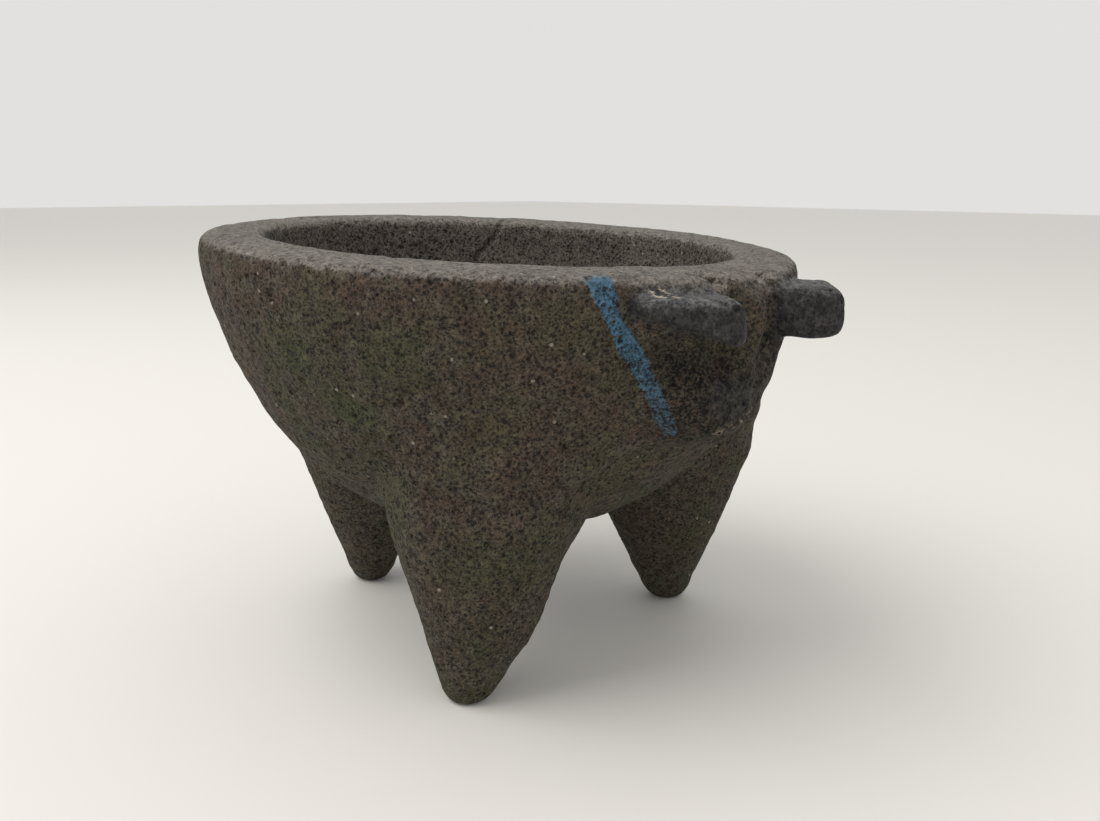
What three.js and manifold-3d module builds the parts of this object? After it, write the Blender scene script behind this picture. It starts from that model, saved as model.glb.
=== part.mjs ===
// Molcajete: a three-legged mortar carved from one block of porous basalt, with an animal head
// under its rim. Millimetres, +Z up. The stone is divided where its maker would block it out: the
// lip, the wall and the base of the bowl, the head with its snout and two ears, and three legs.
// Neighbours keep a hair gap. +X runs from the bowl to the head, and +Y is the animal's left.

import * as THREE from "three";
import { RoundedBoxGeometry } from "three/addons/geometries/RoundedBoxGeometry.js";
import { mergeVertices } from "three/addons/utils/BufferGeometryUtils.js";
import Module from "manifold-3d";

// The bowl
const rimRadius = 104.6; // mean outer radius of the lip
const rimHeight = 145.5; // top of the lip above the floor, on the bowl's axis
const rimFall = 3; // degrees that the lip slopes down towards the head
const rimOval = 0.03; // how much the outside is longer along the head's axis
const rimRound = 5; // rounding of the lip's outer edge
const lipRound = 4; // rounding of the lip's inner edge
const wallUpright = 41.5; // how far down the wall stays steep
const wallDraft = 4; // how far the wall draws in over that height
const bellyRadius = 72.5; // fullness of the underside
const bellyHeight = 44; // underside above the floor
const cavityRadius = 79.5; // mean mouth radius of the hollow
const cavityOval = 0.06; // how much the hollow is longer than it is wide
const cavityTurn = 27; // degrees from the head's axis to the hollow's long axis
const cavityUpright = 42;
const cavityFullness = 52; // fullness of the hollow's round floor
const floorThickness = 24;
const rimBand = 24; // height of the lip's piece
const baseTop = 34; // top of the base's piece above the underside

// The legs
// angle: degrees round the bowl from the head's axis. reach: from the bowl's axis to the foot.
// lean and skew: inward and sideways shift of the leg's own axis per millimetre of height.
const legs = [
  { name: "leg_front_right", angle: -52.4, reach: 68, lean: 0.17, skew: 0.09 },
  { name: "leg_front_left", angle: 59.6, reach: 70, lean: 0.07, skew: -0.04 },
  { name: "leg_rear", angle: 192.3, reach: 67, lean: 0.1, skew: 0 },
];
const footFlat = 4; // radius of the worn flat that a leg stands on
const footRadius = 8.6;
const footRise = 4.6; // height of the foot's rounding
const kneeHeight = 62;
const kneeRadius = 32.5;
const shoulderRadius = 34.5; // fullest radius, above the knee
const shoulderRise = 24; // from the knee to the fullest place
const legBuried = 40; // from the fullest place to the top that lies in the wall
const legTaper = 0.41; // growth of a leg's radius per millimetre of height, at the knee

// The head, measured from the rim at the front
const headTurn = -3; // degrees
const headCentre = 25; // from the rim's front back to the head's middle
const headProud = 6.5; // how far the brow stands past the rim
const headWidth = 72;
const headHeight = 50;
const headDrop = 1.2; // top of the head below the lip
const snoutWidth = 34;
const snoutHeight = 24;
const snoutProud = 4; // past the rim
const snoutDrop = 26; // top of the snout below the lip
const snoutDepth = 32;

// The ears
const earInset = 1.8; // from the head's side in to an ear's tip
const earReach = 19.5; // from the rim to an ear's tip
const earSplay = 40; // degrees that an ear points away from the head's axis
const earWidth = 28;
const earThickness = 15;
const earLength = 46;
const earRound = 4.5;
const earDrop = 4; // top of an ear's tip below the lip
const earTaper = 0.35; // how much thinner the rear edge is than the front edge

const gap = 0.3; // between neighbouring pieces
const around = 64; // facets round the bowl

const rad = THREE.MathUtils.degToRad;
const clamp = THREE.MathUtils.clamp;

const wasm = await Module();
wasm.setup();

// A closed three.js geometry as a manifold-3d solid.
function solidFrom(geometry) {
  const bare = geometry.clone();
  bare.deleteAttribute("normal");
  bare.deleteAttribute("uv");
  const merged = mergeVertices(bare, 1e-4);
  return new wasm.Manifold(
    new wasm.Mesh({
      numProp: 3,
      vertProperties: merged.attributes.position.array,
      triVerts: new Uint32Array(merged.index.array),
    }),
  );
}

// A manifold-3d solid back as a three.js geometry.
function geometryFrom(solid) {
  const { numProp, numVert, vertProperties, triVerts } = solid.getMesh();
  const places = new Float32Array(numVert * 3);
  for (let i = 0; i < numVert; i++) {
    places.set(vertProperties.subarray(i * numProp, i * numProp + 3), i * 3);
  }
  const geometry = new THREE.BufferGeometry();
  geometry.setAttribute("position", new THREE.BufferAttribute(places, 3));
  geometry.setIndex(new THREE.BufferAttribute(triVerts, 1));
  geometry.computeVertexNormals();
  return geometry;
}

// Moves every vertex of a geometry: bend changes the point it is given.
function bendGeometry(geometry, bend) {
  const places = geometry.attributes.position;
  const point = new THREE.Vector3();
  for (let i = 0; i < places.count; i++) {
    point.fromBufferAttribute(places, i);
    bend(point, i);
    places.setXYZ(i, point.x, point.y, point.z);
  }
  return geometry;
}

// A profile of (radius, height) points turned about +Z.
function turned(profile, segments) {
  const geometry = new THREE.LatheGeometry(profile, segments);
  return geometry.rotateX(Math.PI / 2);
}

// How far the lip's slope lowers a point of the bowl: all of it at the lip, none at the underside.
function slopeAt(x, z) {
  const share = clamp((z - bellyHeight) / (rimHeight - bellyHeight), 0, 1.3);
  return x * Math.tan(rad(rimFall)) * share;
}

function outerProfile(grow) {
  const curve = new THREE.CubicBezierCurve(
    new THREE.Vector2(0, bellyHeight - grow),
    new THREE.Vector2(bellyRadius + grow, bellyHeight - 6 - grow),
    new THREE.Vector2(rimRadius - wallDraft + grow, rimHeight - wallUpright),
    new THREE.Vector2(rimRadius + grow, rimHeight - rimRound),
  );
  return curve.getPoints(15);
}

function innerProfile() {
  const floor = bellyHeight + floorThickness;
  const curve = new THREE.CubicBezierCurve(
    new THREE.Vector2(cavityRadius, rimHeight - lipRound),
    new THREE.Vector2(cavityRadius - 3, rimHeight - cavityUpright),
    new THREE.Vector2(cavityFullness, floor),
    new THREE.Vector2(0, floor),
  );
  return curve.getPoints(12);
}

// A quarter round from the point from to the point to, which bulges to the corner's side.
function quarterRound(from, corner, to) {
  return new THREE.QuadraticBezierCurve(from, corner, to).getPoints(4).slice(1, -1);
}

function bowlSolid() {
  const outside = outerProfile(0);
  const inside = innerProfile();
  const outerTop = new THREE.Vector2(rimRadius - rimRound, rimHeight);
  const innerTop = new THREE.Vector2(cavityRadius + lipRound, rimHeight);
  const profile = [
    ...outside,
    ...quarterRound(outside.at(-1), new THREE.Vector2(rimRadius, rimHeight), outerTop),
    outerTop,
    innerTop,
    ...quarterRound(innerTop, new THREE.Vector2(cavityRadius, rimHeight), inside[0]),
    ...inside,
  ];
  const firstInside = profile.indexOf(innerTop);
  const geometry = bendGeometry(turned(profile, around), (point, i) => {
    if (i % profile.length >= firstInside) ovalHollow(point);
    else ovalOutside(point);
    point.z -= slopeAt(point.x, point.z);
  });
  return solidFrom(geometry);
}

function ovalOutside(point) {
  point.x *= 1 + rimOval;
  point.y *= 1 - rimOval;
}

function ovalHollow(point) {
  const turn = rad(cavityTurn);
  const along = point.x * Math.cos(turn) + point.y * Math.sin(turn);
  const across = point.y * Math.cos(turn) - point.x * Math.sin(turn);
  point.x = along * (1 + cavityOval) * Math.cos(turn) - across * (1 - cavityOval) * Math.sin(turn);
  point.y = along * (1 + cavityOval) * Math.sin(turn) + across * (1 - cavityOval) * Math.cos(turn);
}

// The bowl's outside without its hollow, grown by the gap and carried up past the lip. It cuts
// the pieces that lie against the bowl.
function bowlCore() {
  const profile = [
    ...outerProfile(gap),
    new THREE.Vector2(rimRadius + gap, rimHeight + 30),
    new THREE.Vector2(0, rimHeight + 30),
  ];
  const geometry = bendGeometry(turned(profile, around), (point) => {
    ovalOutside(point);
    point.z -= slopeAt(point.x, point.z);
  });
  return solidFrom(geometry);
}

// A slab across the whole bowl between two heights on its axis, sloped as the bowl is there.
function slab(bottom, top) {
  const side = 3 * rimRadius;
  const box = new THREE.BoxGeometry(side, side, top - bottom).toNonIndexed();
  box.translate(0, 0, (top + bottom) / 2);
  return solidFrom(bendGeometry(box, (point) => {
    point.z -= slopeAt(point.x, point.z);
  }));
}

function bowlPieces() {
  const bowl = bowlSolid();
  const lipLine = rimHeight - rimBand;
  const baseLine = bellyHeight + baseTop;
  return {
    rim: bowl.intersect(slab(lipLine + gap, rimHeight + rimBand)),
    wall: bowl.intersect(slab(baseLine + gap, lipLine)),
    base: bowl.intersect(slab(bellyHeight - baseTop, baseLine)),
  };
}

function legSolid({ angle, reach, lean, skew }, grow) {
  const bulge = shoulderRadius + grow;
  const fullest = kneeHeight + shoulderRise;
  const shoulder = new THREE.CubicBezierCurve(
    new THREE.Vector2(kneeRadius + grow, kneeHeight),
    new THREE.Vector2(kneeRadius + grow + legTaper * shoulderRise * 0.5, kneeHeight + shoulderRise / 2),
    new THREE.Vector2(bulge, fullest + legBuried * 0.7),
    new THREE.Vector2(0, fullest + legBuried + grow),
  );
  const foot = new THREE.QuadraticBezierCurve(
    new THREE.Vector2(footFlat + grow, -grow),
    new THREE.Vector2(footRadius - 1.4 + grow, -grow),
    new THREE.Vector2(footRadius + grow, footRise),
  );
  const profile = [new THREE.Vector2(0, -grow), ...foot.getPoints(4), ...shoulder.getPoints(12)];
  const geometry = bendGeometry(turned(profile, 36), (point) => {
    point.x += reach - lean * point.z;
    point.y += skew * point.z;
  });
  return solidFrom(geometry.rotateZ(rad(angle)));
}

// A block with rounded-square sections, stacked from (half depth, half width, height) levels.
function stackedBlock(levels, squareness) {
  const profile = [
    new THREE.Vector2(0, levels[0].z),
    ...levels.map((level) => new THREE.Vector2(1, level.z)),
    new THREE.Vector2(0, levels.at(-1).z),
  ];
  const power = 2 / squareness;
  const geometry = turned(profile, 40);
  return bendGeometry(geometry, (point, i) => {
    const level = levels[clamp((i % profile.length) - 1, 0, levels.length - 1)];
    const depthShare = Math.sign(point.x) * Math.abs(point.x) ** power;
    const widthShare = Math.sign(point.y) * Math.abs(point.y) ** power;
    point.x = depthShare * level.depth;
    point.y = widthShare * level.width;
  });
}

const frontEdge = rimRadius * (1 + rimOval);
const frontHeight = rimHeight - slopeAt(frontEdge, rimHeight);

// The head hangs under the front of the lip: broad at the brow, drawn in below to the throat.
function headSolid(grow) {
  const top = frontHeight - headDrop;
  const depth = headCentre + headProud + grow;
  const half = headWidth / 2 + grow;
  const shape = [
    { down: headHeight + grow, depth: 0.52, width: 0.3 },
    { down: headHeight - 6, depth: 0.66, width: 0.52 },
    { down: headHeight - 14, depth: 0.78, width: 0.66 },
    { down: headHeight - 26, depth: 0.88, width: 0.8 },
    { down: 12, depth: 1, width: 0.96 },
    { down: 4, depth: 0.97, width: 1 },
    { down: -grow, depth: 0.88, width: 0.95 },
  ];
  const levels = shape.map(({ down, depth: d, width: w }) => ({
    z: top - down,
    depth: depth * d,
    width: half * w,
  }));
  const geometry = stackedBlock(levels, 2.8).translate(frontEdge - headCentre, 0, 0);
  return solidFrom(geometry.rotateZ(rad(headTurn)));
}

// The snout is a low rounded block on the lower front of the head.
function snoutSolid(grow) {
  const geometry = new RoundedBoxGeometry(
    snoutDepth + 2 * grow,
    snoutWidth + 2 * grow,
    snoutHeight + 2 * grow,
    4,
    9,
  );
  geometry.translate(
    frontEdge + snoutProud - snoutDepth / 2,
    0,
    frontHeight - snoutDrop - snoutHeight / 2,
  );
  return solidFrom(geometry.rotateZ(rad(headTurn)));
}

// An ear is a rounded slab that points out and forward from a corner of the brow, thick along its
// front edge and thin along its rear edge. side is 1 for the left ear and -1 for the right one.
function earSolid(side) {
  const slabGeometry = new RoundedBoxGeometry(earLength, earWidth, earThickness, 4, earRound);
  const geometry = bendGeometry(slabGeometry, (point) => {
    const rearShare = clamp((point.y * side) / earWidth + 0.5, 0, 1);
    point.z = earThickness / 2 + (point.z - earThickness / 2) * (1 - earTaper * rearShare);
  });
  const tipRadius = rimRadius + earReach;
  const tip = rad(headTurn) + side * Math.asin((headWidth / 2 - earInset) / tipRadius);
  geometry.translate(-earLength / 2, 0, 0);
  geometry.rotateZ(rad(headTurn + side * earSplay));
  geometry.translate(
    tipRadius * Math.cos(tip),
    tipRadius * Math.sin(tip),
    frontHeight - earDrop - earThickness / 2,
  );
  return solidFrom(geometry);
}

function headPieces(core, grownLegs) {
  const cutters = [core, ...grownLegs];
  const cutBack = (solid) => cutters.reduce((rest, cutter) => rest.subtract(cutter), solid);
  const head = headSolid(0);
  const grownHead = headSolid(gap);
  return {
    head: cutBack(head),
    snout: cutBack(snoutSolid(0)).subtract(grownHead),
    ear_right: cutBack(earSolid(-1)).subtract(grownHead),
    ear_left: cutBack(earSolid(1)).subtract(grownHead),
  };
}

function legPieces(core) {
  const pieces = {};
  for (const leg of legs) {
    pieces[leg.name] = legSolid(leg, 0).subtract(core);
  }
  return pieces;
}

// One finish for the whole stone, a little lighter where hands and the pestle polish it.
const stone = {
  rim: { color: 0x77726a, roughness: 0.85 },
  wall: { color: 0x443d32, roughness: 0.95 },
  base: { color: 0x3c372e, roughness: 0.95 },
  head: { color: 0x3a362f, roughness: 0.92 },
  snout: { color: 0x383531, roughness: 0.85 },
  ear_right: { color: 0x3f3d3b, roughness: 0.8 },
  ear_left: { color: 0x4a4846, roughness: 0.8 },
  leg_front_right: { color: 0x433c2f, roughness: 0.95 },
  leg_front_left: { color: 0x332c29, roughness: 0.95 },
  leg_rear: { color: 0x3b332c, roughness: 0.95 },
};

const core = bowlCore();
const grownLegs = legs.map((leg) => legSolid(leg, gap));
const pieces = { ...bowlPieces(), ...headPieces(core, grownLegs), ...legPieces(core) };

const group = new THREE.Group();
for (const [name, solid] of Object.entries(pieces)) {
  const material = new THREE.MeshStandardMaterial({ ...stone[name], metalness: 0 });
  const mesh = new THREE.Mesh(geometryFrom(solid), material);
  mesh.name = name;
  group.add(mesh);
}

// The frame's origin is on the floor, under the middle of the whole stone.
const box = new THREE.Box3().setFromObject(group);
const middle = box.getCenter(new THREE.Vector3());
group.position.set(-middle.x, -middle.y, -box.min.z);

export default group;
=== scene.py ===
# A basalt molcajete: a bowl on three legs with an animal's head under its rim, carved from one
# block. The stone is grown as one unbroken skin round the CAD pieces and then divided where they
# meet. Lengths are in millimetres up to the finished meshes. Angles are in degrees round the
# bowl's axis, from +X, where the head looks.
import math

import bpy
import numpy as np
import openvdb as vdb
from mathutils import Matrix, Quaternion, Vector


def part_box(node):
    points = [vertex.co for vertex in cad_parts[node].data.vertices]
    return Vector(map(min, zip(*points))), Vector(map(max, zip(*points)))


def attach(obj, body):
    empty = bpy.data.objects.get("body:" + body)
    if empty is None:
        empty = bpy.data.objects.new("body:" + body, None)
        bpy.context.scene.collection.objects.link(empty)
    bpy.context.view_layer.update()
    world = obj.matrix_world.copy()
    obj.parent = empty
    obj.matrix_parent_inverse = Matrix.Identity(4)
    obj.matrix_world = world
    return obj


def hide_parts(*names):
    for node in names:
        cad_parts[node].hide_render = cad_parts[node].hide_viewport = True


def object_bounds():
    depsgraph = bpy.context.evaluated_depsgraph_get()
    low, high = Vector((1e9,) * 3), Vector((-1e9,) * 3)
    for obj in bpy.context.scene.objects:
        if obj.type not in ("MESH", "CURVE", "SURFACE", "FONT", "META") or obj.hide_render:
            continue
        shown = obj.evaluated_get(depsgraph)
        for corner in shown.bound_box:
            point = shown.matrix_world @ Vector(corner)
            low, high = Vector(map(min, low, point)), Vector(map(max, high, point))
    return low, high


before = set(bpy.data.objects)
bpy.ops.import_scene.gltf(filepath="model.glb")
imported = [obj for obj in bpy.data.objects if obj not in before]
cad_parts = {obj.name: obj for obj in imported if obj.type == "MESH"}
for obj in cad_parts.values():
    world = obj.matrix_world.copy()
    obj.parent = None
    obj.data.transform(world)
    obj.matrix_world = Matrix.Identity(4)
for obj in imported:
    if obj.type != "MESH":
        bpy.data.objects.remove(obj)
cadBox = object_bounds()
millimetre = 0.001
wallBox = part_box("wall")
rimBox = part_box("rim")
bowlAxis = (wallBox[0] + wallBox[1]) / 2 / millimetre
bowlAxis.z = 0
rimTop = rimBox[1].z / millimetre
print("frame loaded with", len(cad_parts), "nodes")

# A field holds signed distances to a surface on a regular grid, below 0 in the stone.
grids = {
    "coarse": 1.74,  # spacing where the pieces are joined
    "fine": 0.87,  # half of that, where the surface is carved
    "margin": 9.0,  # free room round the stone
    "reach": 15,  # how far the coarse distances go, in grid steps
    "fineReach": 7,
    "band": 3.2,  # distance from the surface within which it is carved
}
fieldLow = np.array(cadBox[0]) / millimetre - grids["margin"]
fieldSize = np.array(cadBox[1] - cadBox[0]) / millimetre + 2 * grids["margin"]
coarseShape = tuple(int(side / grids["coarse"]) + 2 for side in fieldSize)
fineShape = tuple(2 * count - 1 for count in coarseShape)


def fieldOf(points, faces, spacing, reach, shape):  # from a closed surface of triangles or quads
    corners = {"triangles": faces} if faces.shape[1] == 3 else {"quads": faces}
    grid = vdb.FloatGrid.createLevelSetFromPolygons(
        np.ascontiguousarray(points - fieldLow, np.float32),
        transform=vdb.createLinearTransform(voxelSize=spacing),
        halfWidth=reach,
        **{kind: np.ascontiguousarray(rows, np.uint32) for kind, rows in corners.items()},
    )
    field = np.full(shape, spacing * reach, np.float32)
    grid.copyToArray(field)
    return field


def skinOf(field, spacing):  # the surface where a field is 0, in quads
    grid = vdb.FloatGrid(float(field.max()))
    grid.copyFromArray(field)
    grid.transform = vdb.createLinearTransform(voxelSize=spacing)
    points, faces = grid.convertToQuads()
    points = points.astype(np.float64) + fieldLow
    return points, outward(points, faces.astype(np.int64))


def outward(points, faces):  # turns the faces round if they look into the stone
    a, b, c, d = (points[faces[:, k]] for k in range(4))
    volume = np.einsum("ij,ij->", np.cross(a, b), c) + np.einsum("ij,ij->", np.cross(a, c), d)
    return faces if volume > 0 else faces[:, ::-1]


def melt(first, second, width):  # joins two fields with a fillet
    share = np.clip(0.5 + 0.5 * (second - first) / width, 0, 1)
    return second + (first - second) * share - width * share * (1 - share)


def rise(value, start, end):  # 0 at start, 1 at end, eased between
    share = np.clip((value - start) / (end - start), 0, 1)
    return share * share * (3 - 2 * share)


def nodeField(name):  # distances to a CAD node
    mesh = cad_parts[name].data
    points = np.empty(len(mesh.vertices) * 3, np.float32)
    mesh.vertices.foreach_get("co", points)
    corners = np.empty(len(mesh.loops), np.int32)
    mesh.loops.foreach_get("vertex_index", corners)
    points = points.reshape(-1, 3) / millimetre
    return fieldOf(points, corners.reshape(-1, 3), grids["coarse"], grids["reach"], coarseShape)


def twinsOf(faces, pointCount):  # for each face edge, the same edge in the neighbouring face
    starts = faces.ravel()
    ends = np.roll(faces, -1, 1).ravel()
    key = np.minimum(starts, ends) * pointCount + np.maximum(starts, ends)
    order = np.argsort(key, kind="stable")
    twins = np.empty(len(key), np.int64)
    twins[order[0::2]] = order[1::2]
    twins[order[1::2]] = order[0::2]
    return starts, ends, twins


def islands(labels, twins):  # a number for each patch of joined faces with one label
    first = np.repeat(np.arange(len(labels)), 4)
    second = twins // 4
    same = labels[first] == labels[second]
    first = first[same]
    second = second[same]
    patch = np.arange(len(labels))
    while True:
        lower = patch.copy()
        np.minimum.at(lower, first, patch[second])
        lower = lower[lower]
        if np.array_equal(lower, patch):
            return patch
        patch = lower


def wholeStone(points, faces):  # leaves out crumbs that came loose and bubbles deep inside
    patch = islands(np.zeros(len(faces), int), twinsOf(faces, len(points))[2])
    faces = faces[patch == np.bincount(patch).argmax()]
    used, corners = np.unique(faces, return_inverse=True)
    return points[used], corners.reshape(-1, 4)


joins = {  # width of the fillet that each piece meets the stone with
    "leg_front_right": 5.0,
    "leg_front_left": 6.0,
    "leg_rear": 8.0,
    "head": 7.0,
    "snout": 7.0,
    "ear_right": 2.4,
    "ear_left": 2.4,
}
buttress = {  # above its knee a leg runs up into the bowl's outside without a shoulder
    "width": 25.0,
    "from": 62.0,
    "full": 84.0,
    "outside": (82.0, 90.0),  # distances from the bowl's axis, which leave the hollow alone
}
bowlNodes = ["rim", "wall", "base"]
hairGap = 0.25  # closes the gaps between the bowl's own pieces

rightEar = {  # its underside rises from the front edge to the rear edge
    "tip": (124.1, -19.0),  # distance from the bowl's axis, and angle
    "heading": -43.0,
    "underside": 127.6,  # height at the front edge
    "slope": 0.3,
}
nodeFields = {name: nodeField(name) for name in bowlNodes + list(joins)}
tipAngle = math.radians(rightEar["tip"][1])
tipEast = bowlAxis.x + rightEar["tip"][0] * math.cos(tipAngle) - fieldLow[0]
tipNorth = bowlAxis.y + rightEar["tip"][0] * math.sin(tipAngle) - fieldLow[1]
earHeading = math.radians(rightEar["heading"])
gridLines = np.ogrid[tuple(slice(count) for count in coarseShape)]
gridEast, gridNorth, gridUp = (line * grids["coarse"] for line in gridLines)
rearward = (gridEast - tipEast) * math.sin(earHeading) - (gridNorth - tipNorth) * math.cos(earHeading)
under = rightEar["underside"] + rightEar["slope"] * rearward - fieldLow[2] - gridUp
nodeFields["ear_right"] = np.maximum(nodeFields["ear_right"], under.astype(np.float32))
print("fields made for", len(nodeFields), "nodes")

bowl = np.minimum.reduce([nodeFields[name] for name in bowlNodes]) - hairGap
bowl = fieldOf(*skinOf(bowl, grids["coarse"]), grids["coarse"], grids["reach"], coarseShape)
stone = bowl + hairGap
gridAway = np.hypot(gridEast + fieldLow[0] - bowlAxis.x, gridNorth + fieldLow[1] - bowlAxis.y)
upper = rise(gridUp + fieldLow[2], buttress["from"], buttress["full"])
upper = upper * rise(gridAway, *buttress["outside"])
for name, width in joins.items():
    if name.startswith("leg"):
        width = (width + (buttress["width"] - width) * upper).astype(np.float32)
    stone = melt(stone, nodeFields[name], width)
del bowl
stone = fieldOf(*skinOf(stone, grids["coarse"]), grids["fine"], grids["fineReach"], fineShape)
print("stone joined on a grid of", stone.shape)

band = np.flatnonzero(np.abs(stone.ravel()) < grids["band"])
place = np.stack(np.unravel_index(band, fineShape), 1).astype(np.float32) * grids["fine"]
place += fieldLow.astype(np.float32)
depth = stone.ravel()[band]  # grows where stone is taken away

tilt = np.array([[0.36, 0.48, -0.8], [-0.8, 0.6, 0.0], [0.48, 0.64, 0.6]], np.float32)  # a turn


def swells(spots, size, seed):  # smooth random waves from -1 to 1, about size across
    cells = spots @ tilt / size
    cells -= cells.min(0)
    corner = np.floor(cells).astype(np.int32)
    part = cells - corner
    part = part * part * (3 - 2 * part)
    values = np.random.default_rng(seed).uniform(-1, 1, corner.max(0) + 2).astype(np.float32)
    total = np.zeros(len(spots), np.float32)
    for dx in (0, 1):
        for dy in (0, 1):
            for dz in (0, 1):
                share = np.prod(np.where((dx, dy, dz), part, 1 - part), 1)
                total += share * values[corner[:, 0] + dx, corner[:, 1] + dy, corner[:, 2] + dz]
    return total


def hump(value, centre, width):  # 1 at the centre, falling off on both sides
    return np.exp(-(((value - centre) / width) ** 2))


east = place[:, 0] - bowlAxis.x
north = place[:, 1] - bowlAxis.y
height = place[:, 2]
away = np.hypot(east, north)
turn = np.degrees(np.arctan2(north, east))

lipFall = math.tan(math.radians(3))  # the lip slopes down towards the head
toolWork = {  # unevenness left by the mason's hammer and by years of wear
    "waves": [(0.7, 34.0, 21), (0.45, 13.0, 5), (0.3, 5.5, 7), (0.28, 2.6, 11)],  # height, length, seed
    "fullness": 0.45,  # makes up for what the pits take
    "calmLip": 0.5,  # how much smoother the worn lip is
    "lipBegins": 18.0,  # below the rim's top
    "lipWorn": 8.0,
    "feet": (0.5, 6.0),  # heights over which the feet go from worn flat to uneven
    "feetShare": 0.15,  # unevenness left under the feet
}
steady = toolWork["feetShare"] + (1 - toolWork["feetShare"]) * rise(height, *toolWork["feet"])
lipRise = rise(height + lipFall * east, rimTop - toolWork["lipBegins"], rimTop - toolWork["lipWorn"])
steady *= 1 - toolWork["calmLip"] * lipRise
for amount, length, seed in toolWork["waves"]:
    depth += steady * amount * swells(place, length, seed)
depth -= toolWork["fullness"] * steady
print("surface made uneven")

crack = {  # a cut down the inside of the far wall
    "angles": [147.5, 144.5, 138.5, 135.3],
    "heights": [116.0, 133.0, 141.0, 149.0],
    "width": 3.2,
    "depth": 1.7,
    "slant": 0.87,  # it runs down at a slant, so it is narrower across
    "fades": (112.0, 128.0),  # heights over which it comes up from nothing
    "within": 94.0,  # distance from the bowl's axis
}
line = np.interp(height, crack["heights"], crack["angles"])
across = np.radians(turn - line) * away * crack["slant"]
groove = np.clip(1 - np.abs(across) * 2 / crack["width"], 0, 1) * rise(height, *crack["fades"])
depth += crack["depth"] * groove * (away < crack["within"])

face = {
    "turn": -3.0,
    "front": (96.0, 104.0),  # distance from the axis over which the carving sets in
    "valleyOut": 10.0,  # from the middle plane to the valley beside the nose ridge
    "valleyWidth": 3.6,
    "valleyDepth": 6.0,
    "valleyRise": (112.0, 124.0),  # heights over which the left valley comes in
    "rightLower": 6.0,  # how much lower the right valley does
    "noseWidth": 4.5,
    "noseProud": 1.6,
    "noseFoot": (104.0, 114.0),
    "noseTop": (130.0, 137.0),
    "throatHeight": 91.5,
    "throatWidth": 4.2,
    "throatDepth": 2.2,
    "throatSlope": 0.12,
    "throatEnds": (16.0, 26.0),  # distances from the middle plane
    "eye": (97.0, -29.0, 117.0),  # the hollow under the right ear
    "eyeRadius": 8.0,
    "eyeDepth": 4.2,
}
spin = math.radians(face["turn"])
along = east * math.cos(spin) + north * math.sin(spin)
side = north * math.cos(spin) - east * math.sin(spin)
front = rise(along, *face["front"])
valley = hump(np.abs(side), face["valleyOut"], face["valleyWidth"])
valleyFrom, valleyFull = (level - face["rightLower"] * (side < 0) for level in face["valleyRise"])
valley *= rise(height, valleyFrom, valleyFull)
nose = hump(side, 0, face["noseWidth"]) * rise(height, *face["noseFoot"])
nose *= 1 - rise(height, *face["noseTop"])
throat = hump(height, face["throatHeight"] + face["throatSlope"] * side, face["throatWidth"])
throat *= 1 - rise(np.abs(side), *face["throatEnds"])
depth += front * (face["valleyDepth"] * valley + face["throatDepth"] * throat)
depth -= front * face["noseProud"] * nose
apart = np.sqrt(((place - np.float32(face["eye"])) ** 2).sum(1))
depth += face["eyeDepth"] * hump(apart, 0, face["eyeRadius"])
bulges = [  # fuller places: centre, radius and how far they stand out
    ((46.0, -40.0, 23.0), 15.0, 2.4),  # the inner side of the front right foot
    ((93.0, 11.0, 113.0), 8.0, 3.4),  # the left cheek
    ((101.0, 6.5, 100.0), 8.0, -2.6),  # the left corner of the mouth, worn away
]
for centre, radius, amount in bulges:
    apart = np.sqrt(((place - np.float32(centre)) ** 2).sum(1))
    depth -= amount * hump(apart, 0, radius)

cadLow = (np.array(cadBox[0]) / millimetre).astype(np.float32)
cadHigh = (np.array(cadBox[1]) / millimetre).astype(np.float32)
clearance = 0.03  # the skin stays this far inside the CAD box
beyond = np.maximum(cadLow - place, place - cadHigh).max(1)
depth = np.maximum(depth, beyond + clearance)
stone.ravel()[band] = depth
stone = np.clip(stone, -grids["band"], grids["band"])
points, faces = wholeStone(*skinOf(stone, grids["fine"]))
del stone, place, depth, beyond
print("stone carved:", len(points), "points,", len(faces), "faces")


class Wire:  # a socket that takes part in sums, which add Math nodes
    def __init__(self, sheet, socket):
        self.sheet = sheet
        self.socket = socket

    def sum(self, operation, first, second):
        return self.sheet.node("ShaderNodeMath", {"operation": operation}, {0: first, 1: second})

    def __add__(self, other):
        return self.sum("ADD", self, other)

    def __radd__(self, other):
        return self.sum("ADD", other, self)

    def __sub__(self, other):
        return self.sum("SUBTRACT", self, other)

    def __rsub__(self, other):
        return self.sum("SUBTRACT", other, self)

    def __mul__(self, other):
        return self.sum("MULTIPLY", self, other)

    def __rmul__(self, other):
        return self.sum("MULTIPLY", other, self)

    def __truediv__(self, other):
        return self.sum("DIVIDE", self, other)

    def __rtruediv__(self, other):
        return self.sum("DIVIDE", other, self)


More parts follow.
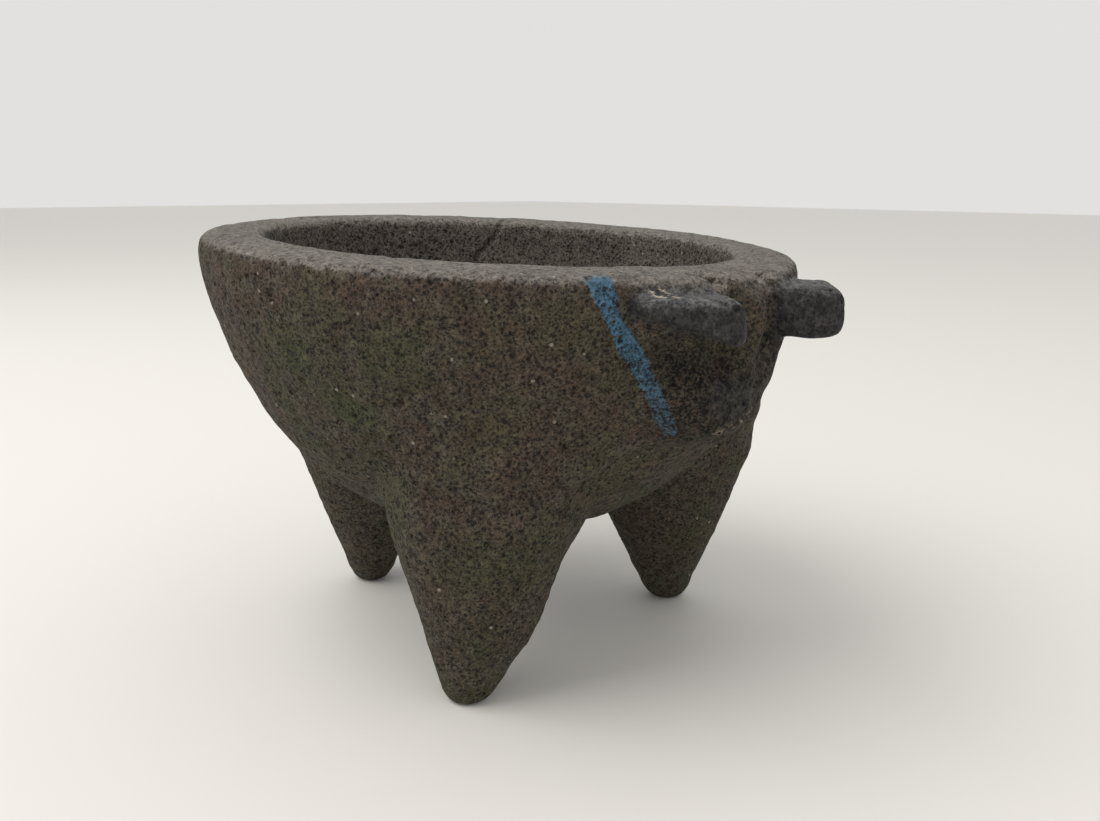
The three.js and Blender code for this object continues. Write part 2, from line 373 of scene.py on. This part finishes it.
class Sheet:  # a node tree that is being filled
    def __init__(self, tree):
        self.tree = tree

    def node(self, kind, settings, sockets, output=0):
        made = self.tree.nodes.new(kind)
        for name, value in settings.items():
            setattr(made, name, value)
        for name, value in sockets.items():
            if isinstance(value, Wire):
                self.tree.links.new(value.socket, made.inputs[name])
            else:
                made.inputs[name].default_value = value
        return Wire(self, made.outputs[output]) if made.outputs else None

    def beside(self, wire, output):  # another output of the node that a wire comes from
        return Wire(self, wire.socket.node.outputs[output])

    def vector(self, operation, first, second):
        return self.node("ShaderNodeVectorMath", {"operation": operation}, {0: first, 1: second})

    def dot(self, first, second):
        settings = {"operation": "DOT_PRODUCT"}
        return self.node("ShaderNodeVectorMath", settings, {0: first, 1: second}, "Value")

    def length(self, vector):
        return self.node("ShaderNodeVectorMath", {"operation": "LENGTH"}, {0: vector}, "Value")

    def scaled(self, vector, factor):
        sockets = {0: vector, "Scale": factor}
        return self.node("ShaderNodeVectorMath", {"operation": "SCALE"}, sockets)

    def ease(self, value, start, end):  # 0 at start, 1 at end
        sockets = {"Value": value, "From Min": start, "From Max": end}
        return self.node("ShaderNodeMapRange", {"interpolation_type": "SMOOTHSTEP"}, sockets)

    def least(self, first, second):
        return self.node("ShaderNodeMath", {"operation": "MINIMUM"}, {0: first, 1: second})

    def most(self, first, second):
        return self.node("ShaderNodeMath", {"operation": "MAXIMUM"}, {0: first, 1: second})

    def noise(self, vector, size, detail=2.0, roughness=0.5):
        sockets = {"Vector": vector, "Scale": 1 / size, "Detail": detail, "Roughness": roughness}
        return self.node("ShaderNodeTexNoise", {}, sockets)

    def cells(self, vector, size):  # distance to the nearest cell's heart, and its colour
        sockets = {"Vector": vector, "Scale": 1 / size}
        heart = self.node("ShaderNodeTexVoronoi", {}, sockets)
        return heart, self.beside(heart, "Color")

    def attribute(self, name):
        return self.node("ShaderNodeAttribute", {"attribute_name": name}, {}, "Fac")

    def mix(self, factor, first, second):
        sockets = {0: factor, 6: first, 7: second}
        return self.node("ShaderNodeMix", {"data_type": "RGBA"}, sockets, 2)


bubbles = {  # gas bubbles that the chisel opened, as pits in the surface
    "Small Spacing": 2.5 * millimetre,
    "Small Radius": 1.05 * millimetre,
    "Small Depth": 0.8 * millimetre,
    "Large Spacing": 5.5 * millimetre,
    "Large Radius": 1.5 * millimetre,
    "Large Depth": 1.2 * millimetre,
    "Seed": 4.0,
}


def pitLayer(sheet, place, spacing, radius, pitDepth):  # how deep one size of bubble cuts
    hearts = sheet.scaled(place, 1 / spacing)
    heart, tint = sheet.cells(hearts, 1.0)
    chance = sheet.node("FunctionNodeSeparateColor", {}, {"Color": tint})
    ownRadius = radius * (chance * 0.6 + 0.4)
    fill = 1 - sheet.ease(heart * spacing / ownRadius, 0.35, 1.0)
    return fill * pitDepth * (chance * 0.5 + 0.5)


def bubbleTree(material):
    tree = bpy.data.node_groups.new("bubbles", "GeometryNodeTree")
    tree.interface.new_socket("Geometry", in_out="INPUT", socket_type="NodeSocketGeometry")
    for name in bubbles:
        tree.interface.new_socket(name, in_out="INPUT", socket_type="NodeSocketFloat")
    tree.interface.new_socket("Geometry", in_out="OUTPUT", socket_type="NodeSocketGeometry")
    sheet = Sheet(tree)
    skin = sheet.node("NodeGroupInput", {}, {})
    wanted = {name: sheet.beside(skin, name) for name in bubbles}
    place = sheet.node("GeometryNodeInputPosition", {}, {})
    place = sheet.vector("ADD", place, wanted["Seed"])
    words = ("Spacing", "Radius", "Depth")
    small = pitLayer(sheet, place, *(wanted["Small " + word] for word in words))
    large = pitLayer(sheet, place, *(wanted["Large " + word] for word in words))
    deep = sheet.most(small, large)
    inward = sheet.scaled(sheet.node("GeometryNodeInputNormal", {}, {}), 0 - deep)
    moved = sheet.node("GeometryNodeSetPosition", {}, {"Geometry": skin, "Offset": inward})
    sockets = {"Geometry": moved, "Name": "pit", "Value": deep / millimetre}
    marked = sheet.node("GeometryNodeStoreNamedAttribute", {"domain": "POINT"}, sockets)
    whole = sheet.node("GeometryNodeRealizeInstances", {}, {"Geometry": marked})
    coated = sheet.node("GeometryNodeSetMaterial", {}, {"Geometry": whole, "Material": material})
    sheet.node("NodeGroupOutput", {}, {"Geometry": coated})
    return tree


def meshFrom(name, points, faceSizes, corners):  # corners follow face by face
    mesh = bpy.data.meshes.new(name)
    mesh.vertices.add(len(points))
    mesh.vertices.foreach_set("co", np.asarray(points, np.float32).ravel())
    mesh.loops.add(len(corners))
    mesh.loops.foreach_set("vertex_index", np.asarray(corners, np.int32))
    mesh.polygons.add(len(faceSizes))
    starts = np.concatenate([[0], np.cumsum(faceSizes)[:-1]])
    mesh.polygons.foreach_set("loop_start", starts.astype(np.int32))
    mesh.update(calc_edges=True)
    return mesh


def pitted(points, faces, material):  # the skin with its bubbles opened, as a plain mesh
    mesh = meshFrom("skin", points * millimetre, np.full(len(faces), 4), faces.ravel())
    mesh.shade_smooth()
    skin = bpy.data.objects.new("skin", mesh)
    bpy.context.collection.objects.link(skin)
    modifier = skin.modifiers.new("bubbles", "NODES")
    modifier.node_group = bubbleTree(material)
    for item in modifier.node_group.interface.items_tree:
        if item.in_out == "INPUT" and item.name in bubbles:
            modifier[item.identifier] = bubbles[item.name]
    bpy.context.view_layer.update()
    finished = skin.evaluated_get(bpy.context.evaluated_depsgraph_get())
    done = bpy.data.meshes.new_from_object(finished)
    bpy.data.objects.remove(skin)
    return done


basalt = {
    "grey": (0.064, 0.054, 0.039, 1),
    "brown": (0.060, 0.041, 0.030, 1),
    "olive": (0.049, 0.045, 0.023, 1),
    "moss": (0.034, 0.042, 0.016, 1),
    "hollow": (0.098, 0.084, 0.072, 1),
    "worn": (0.168, 0.150, 0.132, 1),  # the lip, where the pestle and hands polish it
    "handledAndShaded": (0.017, 0.0165, 0.018, 1),  # ears and muzzle: their own darker stone, with painted shade on the ears' sides and undersides
    "earTopLit": (0.075, 0.076, 0.078, 1),  # painted light: the ears' up-facing faces, lighter than their shaded sides
    # painted shade: the near-black inside the pores and pits
    "pore": (0.005, 0.004, 0.003, 1),
    "speck": (0.36, 0.32, 0.25, 1),
    "chip": (0.50, 0.42, 0.32, 1),
    "paint": (0.040, 0.110, 0.175, 1),
}
patterns = {  # how large the parts of each pattern are
    "broad": 22.0,
    "patch": 7.0,
    "dust": 2.6,
    "grain": 0.9,
    "pore": 1.8,
    "tinyPore": 0.95,
    "poreEdge": 1.1,  # how ragged the pores are
    "speck": 5.2,
}
zones = {  # where a finish begins and where it is full
    "lip": (14.0, 6.5),  # below the rim's top
    "lipUp": (0.3, 0.85),  # how far the surface looks up
    "floorUp": (0.2, 0.6),
    "insideFacing": (0.2, -0.2),  # how far it looks away from the bowl's axis
    "floorAway": (84.0, 78.0),  # distance from the axis
    "insideAway": (93.0, 86.0),
    "insideHeight": (60.0, 68.0),
    "mossStart": (-100.0, -88.0),  # degrees round the axis
    "mossEnd": (-40.0, -62.0),
    "mossFoot": (66.0, 86.0),
    "mossTop": (138.0, 118.0),
    "low": (96.0, 60.0),  # moss on the legs
    "faceEast": (86.0, 103.0),
    "faceTop": (128.0, 116.0),
    "faceFoot": (72.0, 94.0),
    "eye": (14.0, 5.0),  # distance from the eye's hollow
    "earTopLitUp": (0.45, 0.9),
}
cover = {  # how fully each finish hides what lies under it
    "olive": 0.6,
    "moss": 0.8,
    "hollow": 0.75,
    "earTopLit": 0.8,
    "handledAndShaded": 0.85,
    "paint": 0.92,
    "pore": 0.88,
    "speck": 0.6,
}
tones = {  # how much lighter and darker the colour goes
    "grain": 3.6,
    "grainOffLip": 1.8,  # less of it on the worn lip
    "dust": 1.8,
    "dustHandled": 2.4,  # more of it on the ears and muzzle
    "face": 0.4,
    "eye": 0.3,
    "broad": 0.5,
}
bumps = {  # height of each pattern, as a share of the whole
    "grain": 0.5,
    "dust": 0.35,
    "pore": 1.1,
    "paint": 0.25,
    "strength": 0.85,
    "height": 0.55,  # the whole
}
dullness = {  # roughness of bare stone, and what each finish changes
    "bare": 0.92,
    "handledAndShaded": 0.22,
    "lip": 0.1,
    "paint": 0.25,
    "grain": 0.1,
    "specular": 0.35,
}
stroke = {  # the stroke of blue paint: the angles of its two edges at five heights
    "heights": [94.0, 108.0, 121.0, 131.0, 139.5],
    "left": [-13.8, -19.3, -25.1, -28.1, -30.3],
    "right": [-12.2, -16.5, -21.1, -25.2, -26.2],
    "foot": 93.0,
    "top": 141.0,
    "dries": (95.0, 116.0),  # heights over which the brush ran dry, downwards
}


def strokeEdge(sheet, height, angles):  # the angle of an edge at a height, leg by leg
    heights = stroke["heights"]
    edge = angles[0]
    for k in range(len(heights) - 1):
        sockets = {
            "Value": height,
            "From Min": heights[k],
            "From Max": heights[k + 1],
            "To Min": 0.0,
            "To Max": angles[k + 1] - angles[k],
        }
        edge = sheet.node("ShaderNodeMapRange", {"clamp": True}, sockets) + edge
    return edge


def basaltMaterial():
    material = bpy.data.materials.new("basalt")
    material.use_nodes = True
    sheet = Sheet(material.node_tree)
    material.node_tree.nodes.clear()
    place = sheet.node("ShaderNodeTexCoord", {}, {}, "Object")
    place = sheet.scaled(place, 1 / millimetre)
    fromAxis = sheet.vector("SUBTRACT", place, tuple(bowlAxis))
    east = sheet.node("ShaderNodeSeparateXYZ", {}, {0: fromAxis})
    north = sheet.beside(east, 1)
    height = sheet.beside(east, 2)
    flat = sheet.vector("MULTIPLY", fromAxis, (1, 1, 0))
    away = sheet.length(flat)
    turn = sheet.node("ShaderNodeMath", {"operation": "ARCTAN2"}, {0: north, 1: east})
    turn = turn * (180 / math.pi)
    normal = sheet.node("ShaderNodeNewGeometry", {}, {}, "Normal")
    up = sheet.beside(sheet.node("ShaderNodeSeparateXYZ", {}, {0: normal}), 2)
    pit = sheet.attribute("pit")
    handledAndShaded = sheet.attribute("handledAndShaded")
    chip = sheet.attribute("chip")

    broad = sheet.noise(place, patterns["broad"], 3)
    patch = sheet.noise(sheet.vector("ADD", place, (90, 40, 10)), patterns["patch"], 3, 0.6)
    grain = sheet.noise(place, patterns["grain"], 2, 0.7)
    dust = sheet.noise(sheet.vector("ADD", place, (5, 70, 30)), patterns["dust"], 2, 0.6)

    # the parts of the stone that look or wear differently, each from 0 to 1
    lip = sheet.ease(height + east * lipFall, *(rimTop - drop for drop in zones["lip"]))
    lip = lip * sheet.ease(up, *zones["lipUp"])
    facing = sheet.dot(normal, flat) / away
    floorPart = sheet.ease(up, *zones["floorUp"]) * sheet.ease(away, *zones["floorAway"])
    inside = sheet.most(sheet.ease(facing, *zones["insideFacing"]), floorPart)
    inside = inside * sheet.ease(away, *zones["insideAway"])
    inside = inside * sheet.ease(height, *zones["insideHeight"])
    mossy = sheet.ease(turn, *zones["mossStart"]) * sheet.ease(turn, *zones["mossEnd"])
    mossy = mossy * sheet.ease(height, *zones["mossFoot"]) * sheet.ease(height, *zones["mossTop"])
    low = sheet.ease(height, *zones["low"]) * 0.55
    green = sheet.ease(broad + patch * 0.6, 0.55, 1.1) * sheet.most(mossy, low * (1 - inside))
    faceShade = sheet.ease(east, *zones["faceEast"]) * sheet.ease(height, *zones["faceTop"])
    faceShade = faceShade * sheet.ease(height, *zones["faceFoot"])
    eyeShade = sheet.ease(sheet.length(sheet.vector("SUBTRACT", place, face["eye"])), *zones["eye"])

    # colour, from the bare stone outwards
    colour = sheet.mix(sheet.ease(patch, 0.36, 0.64), basalt["grey"], basalt["brown"])
    colour = sheet.mix(sheet.ease(broad, 0.42, 0.7) * cover["olive"], colour, basalt["olive"])
    colour = sheet.mix(green * cover["moss"], colour, basalt["moss"])
    colour = sheet.mix(inside * cover["hollow"], colour, basalt["hollow"])
    colour = sheet.mix(lip * (0.7 + 0.3 * patch), colour, basalt["worn"])
    # painted light and shade on the ears and muzzle: up-facing faces take the lit colour, the rest the
    # near-black one that carries painted shade
    onTop = sheet.ease(up, *zones["earTopLitUp"])
    earLitAndShaded = sheet.mix(onTop * cover["earTopLit"], basalt["handledAndShaded"], basalt["earTopLit"])
    colour = sheet.mix(handledAndShaded * cover["handledAndShaded"], colour, earLitAndShaded)

    # the brushed stroke, ragged along its edges and thin where the brush ran dry
    left = strokeEdge(sheet, height, stroke["left"])
    right = strokeEdge(sheet, height, stroke["right"])
    wobble = (dust - 0.5) * 2.4 + (grain - 0.5) * 1.6
    inPaint = sheet.least(turn - left, right - turn) + wobble * 0.55
    inPaint = sheet.least(inPaint, (height - stroke["foot"]) * 0.4 + wobble)
    inPaint = sheet.least(inPaint, (stroke["top"] - height) * 0.6)
    painted = sheet.ease(inPaint, -0.15, 0.35) * sheet.ease(facing, -0.15, 0.15)
    painted = painted * (0.55 + 0.45 * sheet.ease(height, *stroke["dries"]))
    painted = painted * sheet.ease(pit, 0.55, 0.15)
    colour = sheet.mix(painted * cover["paint"], colour, basalt["paint"])

    # painted shade on the face and in the hollow under the right ear, plus broad random lighter and
    # darker patches
    shade = faceShade * tones["face"] * (1 - lip) + tones["eye"] * eyeShade
    shade = shade + tones["broad"] * (0.5 - broad)
    tone = 1 + (tones["grain"] - tones["grainOffLip"] * lip) * (grain - 0.5)
    tone = tone + (tones["dust"] + tones["dustHandled"] * handledAndShaded) * (dust - 0.5) - shade
    colour = sheet.scaled(colour, tone)

    # pores too fine to be cut, in two sizes
    sockets = {"Vector": place, "Scale": 1.1, "Detail": 1.0}
    ragged = sheet.node("ShaderNodeTexNoise", {}, sockets, "Color")
    ragged = sheet.vector("ADD", place, sheet.scaled(ragged, patterns["poreEdge"]))
    poreFar, poreTint = sheet.cells(ragged, patterns["pore"])
    poreChance = sheet.node("ShaderNodeSeparateColor", {}, {"Color": poreTint})
    poreSize = 0.13 + 0.34 * poreChance
    pore = 1 - sheet.ease(poreFar / poreSize, 0.5, 1.0)
    tinyPlace = sheet.vector("ADD", ragged, (31, 7, 19))
    tinyFar, tinyTint = sheet.cells(tinyPlace, patterns["tinyPore"])
    tinyChance = sheet.node("ShaderNodeSeparateColor", {}, {"Color": tinyTint})
    tiny = (1 - sheet.ease(tinyFar / (0.16 + 0.38 * tinyChance), 0.45, 1.0)) * 0.85
    smooth = sheet.most(handledAndShaded * 0.25, lip * 0.35)
    hole = sheet.most(pore, tiny) * (1 - smooth)
    # painted shade in the pores and in the cut pits, which turns them near-black
    poreShade = sheet.most(hole, sheet.ease(pit, 0.2, 1.0) * 0.75)
    colour = sheet.mix(poreShade * cover["pore"], colour, basalt["pore"])

    speckPlace = sheet.vector("ADD", place, (3, 57, 11))
    speckFar, speckTint = sheet.cells(speckPlace, patterns["speck"])
    speckChance = sheet.node("ShaderNodeSeparateColor", {}, {"Color": speckTint})
    speck = sheet.ease(speckFar, 0.14, 0.07) * sheet.ease(speckChance, 0.76, 0.82)
    speck = speck * (1 - handledAndShaded)
    colour = sheet.mix(speck * cover["speck"], colour, basalt["speck"])
    colour = sheet.mix(chip * sheet.ease(dust + 0.5 * grain, 0.7, 0.86), colour, basalt["chip"])

    relief = bumps["grain"] * (grain - 0.5) + bumps["dust"] * (dust - 0.5)
    relief = relief - bumps["pore"] * hole + bumps["paint"] * painted
    tallest = bumps["height"] * millimetre
    sockets = {"Strength": bumps["strength"], "Distance": tallest, "Height": relief}
    bump = sheet.node("ShaderNodeBump", {}, sockets)
    dull = dullness["bare"] - dullness["handledAndShaded"] * handledAndShaded - dullness["lip"] * lip
    dull = dull - dullness["paint"] * painted + dullness["grain"] * (grain - 0.5)
    sockets = {"Base Color": colour, "Roughness": dull, "Normal": bump}
    sockets["Specular IOR Level"] = dullness["specular"]
    surface = sheet.node("ShaderNodeBsdfPrincipled", {}, sockets)
    sheet.node("ShaderNodeOutputMaterial", {}, {"Surface": surface})
    return material


stoneMaterial = basaltMaterial()
skin = pitted(points, faces, stoneMaterial)
skinPoints = np.empty(len(skin.vertices) * 3, np.float32)
skin.vertices.foreach_get("co", skinPoints)
skinPoints = skinPoints.reshape(-1, 3)
skinNormals = np.empty(len(skin.vertices) * 3, np.float32)
skin.vertex_normals.foreach_get("vector", skinNormals)
skinNormals = skinNormals.reshape(-1, 3)
skinPits = np.empty(len(skin.vertices), np.float32)
skin.attributes["pit"].data.foreach_get("value", skinPits)
print("bubbles opened, deepest", round(float(skinPits.max()), 2), "mm")

names = list(nodeFields)  # the skin is divided along the lines where these CAD nodes meet
division = {
    "evenings": 8,  # times that each face joins most of its neighbours
    "ownVote": 0.5,  # breaks a tie in favour of staying
    "smallestPatch": 500,  # faces, below which a patch goes to the piece round it
    "cornerRounds": 30,  # most times that touching edges are pulled apart
    "strip": 2.0,  # how far a cap's edge dives under the surface
    "heart": 11.0,  # how deep a cap's middle point lies
}


def between(field, spots):  # a coarse field's value at any spot
    cells = (spots - fieldLow) / grids["coarse"]
    corner = np.floor(cells).astype(np.int64)
    part = cells - corner
    total = np.zeros(len(spots))
    for dx in (0, 1):
        for dy in (0, 1):
            for dz in (0, 1):
                share = np.prod(np.where((dx, dy, dz), part, 1 - part), 1)
                total += share * field[corner[:, 0] + dx, corner[:, 1] + dy, corner[:, 2] + dz]
    return total


def votes(labels, twins, own):  # how many neighbours, and itself, give each face each label
    count = len(labels)
    sides = labels[twins // 4]
    known = sides >= 0
    ballot = np.repeat(np.arange(count), 4)[known] * len(names) + sides[known]
    tally = np.bincount(ballot, minlength=count * len(names)).reshape(count, -1).astype(float)
    mine = labels >= 0
    tally[np.flatnonzero(mine), labels[mine]] += own
    return tally


def withoutStrays(labels, twins):  # small patches go to what is round them
    patch = islands(labels, twins)
    labels[np.bincount(patch)[patch] < division["smallestPatch"]] = -1
    while (labels < 0).any():
        blank = labels < 0
        tally = votes(labels, twins, 0)
        found = np.where(tally.sum(1) > 0, tally.argmax(1), -1)
        labels[blank] = found[blank]
    return labels


def singleCorners(labels, faces, twins, starts):  # no piece's edge meets itself at a point
    corners = faces.ravel()
    for _ in range(division["cornerRounds"]):
        owner = np.repeat(labels, 4)
        edge = owner != labels[twins // 4]
        key = starts[edge] * len(names) + owner[edge]
        values, counts = np.unique(key, return_counts=True)
        crowded = values[counts > 1] // len(names)
        if not len(crowded):
            return labels
        for point in np.unique(crowded):
            near = np.flatnonzero(corners == point) // 4
            labels[near] = np.bincount(labels[near]).argmax()
    return labels


starts, ends, twins = twinsOf(faces, len(points))
centres = skinPoints[faces].mean(1) / millimetre
labels = np.argmin([between(nodeFields[name], centres) for name in names], 0)
for _ in range(division["evenings"]):
    labels = votes(labels, twins, division["ownVote"]).argmax(1)
labels = withoutStrays(labels, twins)
labels = singleCorners(labels, faces, twins, starts)
print("faces of each piece:", dict(zip(names, np.bincount(labels).tolist())))


def edgeLoops(label):  # the closed lines of points along a piece's edge
    rim = (np.repeat(labels, 4) == label) & (labels[twins // 4] != label)
    follow = dict(zip(starts[rim].tolist(), ends[rim].tolist()))
    loops = []
    while follow:
        first = next(iter(follow))
        loop = [first]
        while (point := follow.pop(loop[-1])) != first:
            loop.append(point)
        loops.append(np.array(loop))
    return loops


def roundAxis(loop):  # the running angle of a loop about the bowl's axis, in turns
    spots = skinPoints[loop] / millimetre - np.array(bowlAxis)
    return np.unwrap(np.arctan2(spots[:, 1], spots[:, 0])) / (2 * math.pi)


def plug(loop, first):  # a strip that dives under the surface, then a fan to a point in the stone
    count = len(loop)
    ring = first + np.arange(count)
    after = np.roll(loop, -1)
    ringAfter = np.roll(ring, -1)
    apex = np.full(count, first + count)
    triangles = [(after, loop, ring), (after, ring, ringAfter), (ringAfter, ring, apex)]
    spots = skinPoints[loop]
    normals = skinNormals[loop]
    dived = spots - normals * division["strip"] * millimetre
    heart = spots.mean(0) - normals.mean(0) * division["heart"] * millimetre
    return np.concatenate([np.stack(row, 1) for row in triangles]), np.vstack([dived, heart])


def bridge(outer, inner):  # a ring of triangles between two loops that run opposite ways
    inner = inner[::-1]
    forward = 1 if roundAxis(outer)[-1] > roundAxis(outer)[0] else -1
    begin = []
    for loop in (outer, inner):
        spots = skinPoints[loop] / millimetre - np.array(bowlAxis)
        angle = np.arctan2(spots[:, 1], spots[:, 0]) * forward
        begin.append(np.roll(loop, -int(np.argmin(np.abs(angle)))))
    outer, inner = (np.append(loop, loop[0]) for loop in begin)
    shares = []
    for loop in (outer, inner):
        running = np.maximum.accumulate(roundAxis(loop) * forward)
        shares.append((running - running[0]) / (running[-1] - running[0]))
    triangles = []
    i = 0
    j = 0
    while i < len(outer) - 1 or j < len(inner) - 1:
        outerNext = shares[0][i + 1] if i < len(outer) - 1 else 2
        innerNext = shares[1][j + 1] if j < len(inner) - 1 else 2
        if outerNext <= innerNext:
            triangles.append((outer[i + 1], outer[i], inner[j]))
            i += 1
        else:
            triangles.append((inner[j], inner[j + 1], outer[i]))
            j += 1
    return np.array(triangles)


def farOut(loop):  # a loop's mean distance from the bowl's axis
    spots = skinPoints[loop]
    return np.hypot(spots[:, 0] - bowlAxis.x * millimetre, spots[:, 1]).mean()


def caps(label):  # closes a piece inside the stone: its triangles and their extra points
    triangles = []
    extra = []
    rings = []
    for loop in edgeLoops(label):
        turns = roundAxis(np.append(loop, loop[0]))
        if abs(turns[-1] - turns[0]) > 0.5:
            rings.append(loop)
        else:
            added, fresh = plug(loop, len(skinPoints) + sum(len(rows) for rows in extra))
            triangles.append(added)
            extra.append(fresh)
    rings.sort(key=lambda loop: skinPoints[loop, 2].mean())
    for k in range(0, len(rings), 2):
        pair = sorted(rings[k:k + 2], key=farOut, reverse=True)
        triangles.append(bridge(*pair))
    return np.concatenate(triangles), np.concatenate(extra + [np.zeros((0, 3))])


def fromLine(spots, first, last):  # distance of spots to a straight line
    first = np.array(first)
    run = np.array(last) - first
    share = np.clip((spots - first) @ run / (run @ run), 0, 1)
    return np.linalg.norm(spots - first - share[:, None] * run, axis=1)


marks = {  # chips, and the ears and muzzle, polished smooth and given painted shade, placed in the frame
    "chippedEdge": ((88.5, -36.0, 136.5), (100.5, -39.5, 136.0)),  # along the right ear's top
    "chipWidth": (1.2, 2.6),
    "jaw": ((98.5, -19.0, 94.5), (102.0, -6.0, 97.0), (102.5, 2.0, 102.0)),
    "jawWidth": (0.6, 2.0),
    "jawShare": 0.27,
    "earsReach": (0.5, 4.0),  # distance from the ears over which the polish and the painted shade end
    "muzzle": (101.0, -12.0, 105.0),
    "muzzleSize": (8.0, 11.0, 7.0),
    "muzzleReach": (0.7, 1.15),  # in muzzle sizes
    "muzzleShare": 0.7,
}
spots = skinPoints.astype(np.float64) / millimetre
ears = np.minimum(between(nodeFields["ear_right"], spots), between(nodeFields["ear_left"], spots))
muzzle = np.linalg.norm((spots - marks["muzzle"]) / marks["muzzleSize"], axis=1)
onMuzzle = marks["muzzleShare"] * (1 - rise(muzzle, *marks["muzzleReach"]))
skinHandledAndShaded = np.maximum(1 - rise(ears, *marks["earsReach"]), onMuzzle)
jaw = np.minimum(fromLine(spots, *marks["jaw"][:2]), fromLine(spots, *marks["jaw"][1:]))
onJaw = marks["jawShare"] * (1 - rise(jaw, *marks["jawWidth"]))
skinChips = 1 - rise(fromLine(spots, *marks["chippedEdge"]), *marks["chipWidth"])
skinChips = np.maximum(skinChips, onJaw)


def pieceMesh(name):  # a piece's share of the skin, closed inside the stone
    label = names.index(name)
    quads = faces[labels == label]
    triangles, extra = caps(label)
    everyPoint = np.concatenate([skinPoints, extra.astype(np.float32)])
    used, place = np.unique(np.concatenate([quads.ravel(), triangles.ravel()]), return_inverse=True)
    sizes = np.concatenate([np.full(len(quads), 4), np.full(len(triangles), 3)])
    mesh = meshFrom(name, everyPoint[used], sizes, place)
    mesh.shade_smooth()
    up = np.tile(np.float32([0, 0, 1]), (len(extra), 1))
    normals = np.concatenate([skinNormals, up])[used]
    mesh.normals_split_custom_set_from_vertices(normals)
    for word, values in (("pit", skinPits), ("handledAndShaded", skinHandledAndShaded), ("chip", skinChips)):
        values = np.concatenate([values, np.zeros(len(extra))])[used].astype(np.float32)
        mesh.attributes.new(word, "FLOAT", "POINT").data.foreach_set("value", values)
    mesh.materials.append(stoneMaterial)
    return mesh


for name in names:
    piece = bpy.data.objects.new("stone_" + name, pieceMesh(name))
    bpy.context.collection.objects.link(piece)
    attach(piece, "root")
    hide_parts(name)
print("stone divided into", len(names), "pieces")

studio = {  # in metres
    "floorSide": 12.0,
    "floor": (0.80, 0.78, 0.745, 1),
    "floorRoughness": 0.6,
    "sky": (1.0, 0.99, 0.97, 1),
    "skyStrength": 0.76,
    "lampPlace": (-0.45, -0.85, 1.5),
    "lampSide": 1.5,
    "lampPower": 18.5,
    "lampColour": (1.0, 0.985, 0.96),
    "lampAim": (0, 0, 0.08),
}
camera = {  # in millimetres
    "from": -43.0,  # degrees round the bowl's axis
    "distance": 368.05,
    "height": 165.6,
    "heading": 134.02,
    "pitch": 12.89,
    "roll": 0.356,
    "lens": 32.727,
    "nearest": 0.01,  # metres
}


def pointed(thing, spot, target):
    thing.location = spot
    thing.rotation_mode = "QUATERNION"
    thing.rotation_quaternion = (Vector(target) - Vector(spot)).to_track_quat("-Z", "Y")


floorMesh = bpy.data.meshes.new("floor")
half = studio["floorSide"] / 2
floorCorners = [(-half, -half, 0), (half, -half, 0), (half, half, 0), (-half, half, 0)]
floorMesh.from_pydata(floorCorners, [], [(0, 1, 2, 3)])
floor = bpy.data.objects.new("floor", floorMesh)
bpy.context.collection.objects.link(floor)
floorMaterial = bpy.data.materials.new("painted board")
floorMaterial.use_nodes = True
board = floorMaterial.node_tree.nodes["Principled BSDF"]
board.inputs["Base Color"].default_value = studio["floor"]
board.inputs["Roughness"].default_value = studio["floorRoughness"]
floorMesh.materials.append(floorMaterial)

sky = bpy.data.worlds.new("sky")
sky.use_nodes = True
background = sky.node_tree.nodes["Background"]
background.inputs["Color"].default_value = studio["sky"]
background.inputs["Strength"].default_value = studio["skyStrength"]
bpy.context.scene.world = sky

lamp = bpy.data.objects.new("window", bpy.data.lights.new("window", "AREA"))
lamp.data.shape = "SQUARE"
lamp.data.size = studio["lampSide"]
lamp.data.energy = studio["lampPower"]
lamp.data.color = studio["lampColour"]
bpy.context.collection.objects.link(lamp)
pointed(lamp, studio["lampPlace"], studio["lampAim"])

bearing = math.radians(camera["from"])
cameraPlace = Vector((math.cos(bearing), math.sin(bearing), 0)) * camera["distance"] + bowlAxis
cameraPlace.z = camera["height"]
heading = math.radians(camera["heading"])
pitch = math.radians(camera["pitch"])
level = math.cos(pitch)
look = Vector((math.cos(heading) * level, math.sin(heading) * level, -math.sin(pitch)))
roll = Quaternion((0, 0, 1), math.radians(camera["roll"]))
viewer = bpy.data.objects.new("camera", bpy.data.cameras.new("camera"))
viewer.data.lens = camera["lens"]
viewer.data.clip_start = camera["nearest"]
viewer.location = cameraPlace * millimetre
viewer.rotation_mode = "QUATERNION"
viewer.rotation_quaternion = look.to_track_quat("-Z", "Y") @ roll
bpy.context.collection.objects.link(viewer)
bpy.context.scene.camera = viewer
bpy.context.scene.view_settings.view_transform = "Standard"
print("floor, light and camera set")
